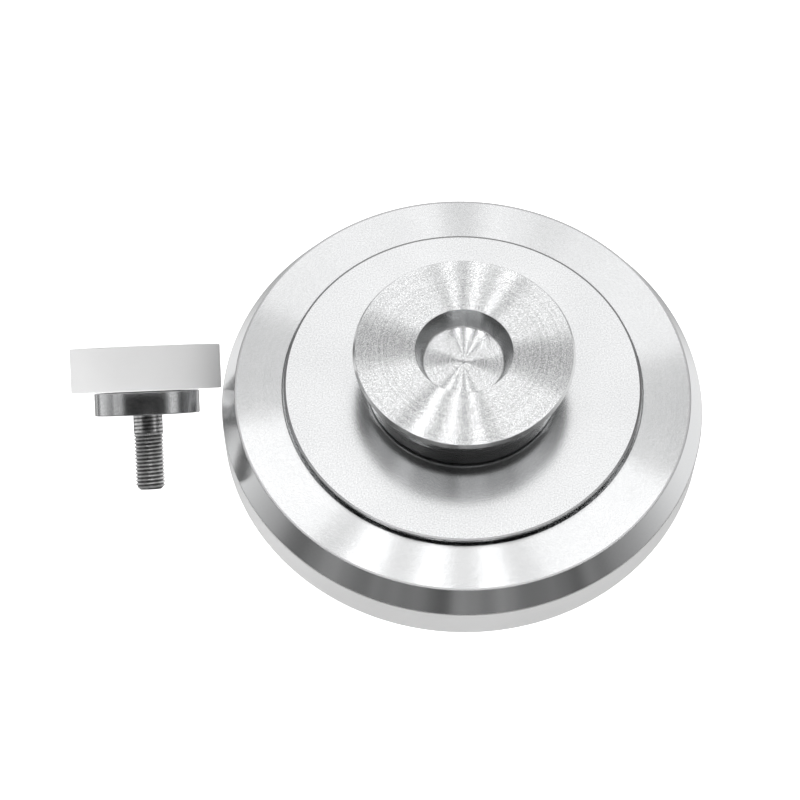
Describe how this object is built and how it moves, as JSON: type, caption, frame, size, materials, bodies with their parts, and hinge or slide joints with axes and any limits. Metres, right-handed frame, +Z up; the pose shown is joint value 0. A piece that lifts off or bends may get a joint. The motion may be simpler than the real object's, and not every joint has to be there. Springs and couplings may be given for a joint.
{
  "type": "pottery trimming spinner",
  "caption": "Low steel wheel on a nylon pad with a free-turning steel hub and finger recess, and a small spare pad on a threaded stud.",
  "frame": {"origin": "on the wheel's turning axis, at the underside of the nylon pad, which stands on the table", "axes": "+Z up along the hub's turning axis; +X to the right of the finger recess as the picture sees it, away from the loose spare pad; +Y away from the viewer"},
  "size_m": [0.1703, 0.13, 0.0401],
  "materials": {
    "nylon": "machined white nylon, satin",
    "turned_steel": "stainless steel, turned on a lathe, fine rings",
    "screw_steel": "plain steel threads and fasteners",
    "bearing_steel": "ground and polished bearing steel",
    "cage_polymer": "moulded nylon cage"
  },
  "bodies": {
    "base": {"nylon_pad": "nylon", "outer_plate": "turned_steel", "inner_disc": "turned_steel", "pad_screw_1": "screw_steel", "pad_screw_2": "screw_steel", "pad_screw_3": "screw_steel", "pad_screw_4": "screw_steel", "spindle": "screw_steel", "spindle_nut": "screw_steel", "bearing_spacer": "screw_steel", "bearing_inner_race": "bearing_steel"},
    "turning_hub": {"hub": "turned_steel", "bearing_outer_race": "bearing_steel", "bearing_shield_lower": "bearing_steel", "bearing_shield_upper": "bearing_steel", "bearing_circlip": "screw_steel"},
    "ball_set": {"bearing_cage": "cage_polymer", "bearing_ball_1": "bearing_steel", "bearing_ball_2": "bearing_steel", "bearing_ball_3": "bearing_steel", "bearing_ball_4": "bearing_steel", "bearing_ball_5": "bearing_steel", "bearing_ball_6": "bearing_steel", "bearing_ball_7": "bearing_steel"},
    "spare": {"spare_pad": "nylon", "spare_flange": "turned_steel", "spare_stud": "screw_steel"}
  },
  "joints": [
    {"name": "hub_spin", "type": "hinge", "parent": "base", "child": "turning_hub", "pos_m": [0, 0, 0.0213], "axis": [0, 0, 1], "continuous": true},
    {"name": "ball_set_spin", "type": "hinge", "parent": "base", "child": "ball_set", "pos_m": [0, 0, 0.0213], "axis": [0, 0, 1], "continuous": true},
    {"name": "spare_lift", "type": "slide", "parent": "base", "child": "spare", "axis": [0, 0, 1], "range_m": [0, 0.06]}
  ],
  "couplings": [
    {"joint": "ball_set_spin", "follows": "hub_spin", "ratio": 0.632}
  ]
}
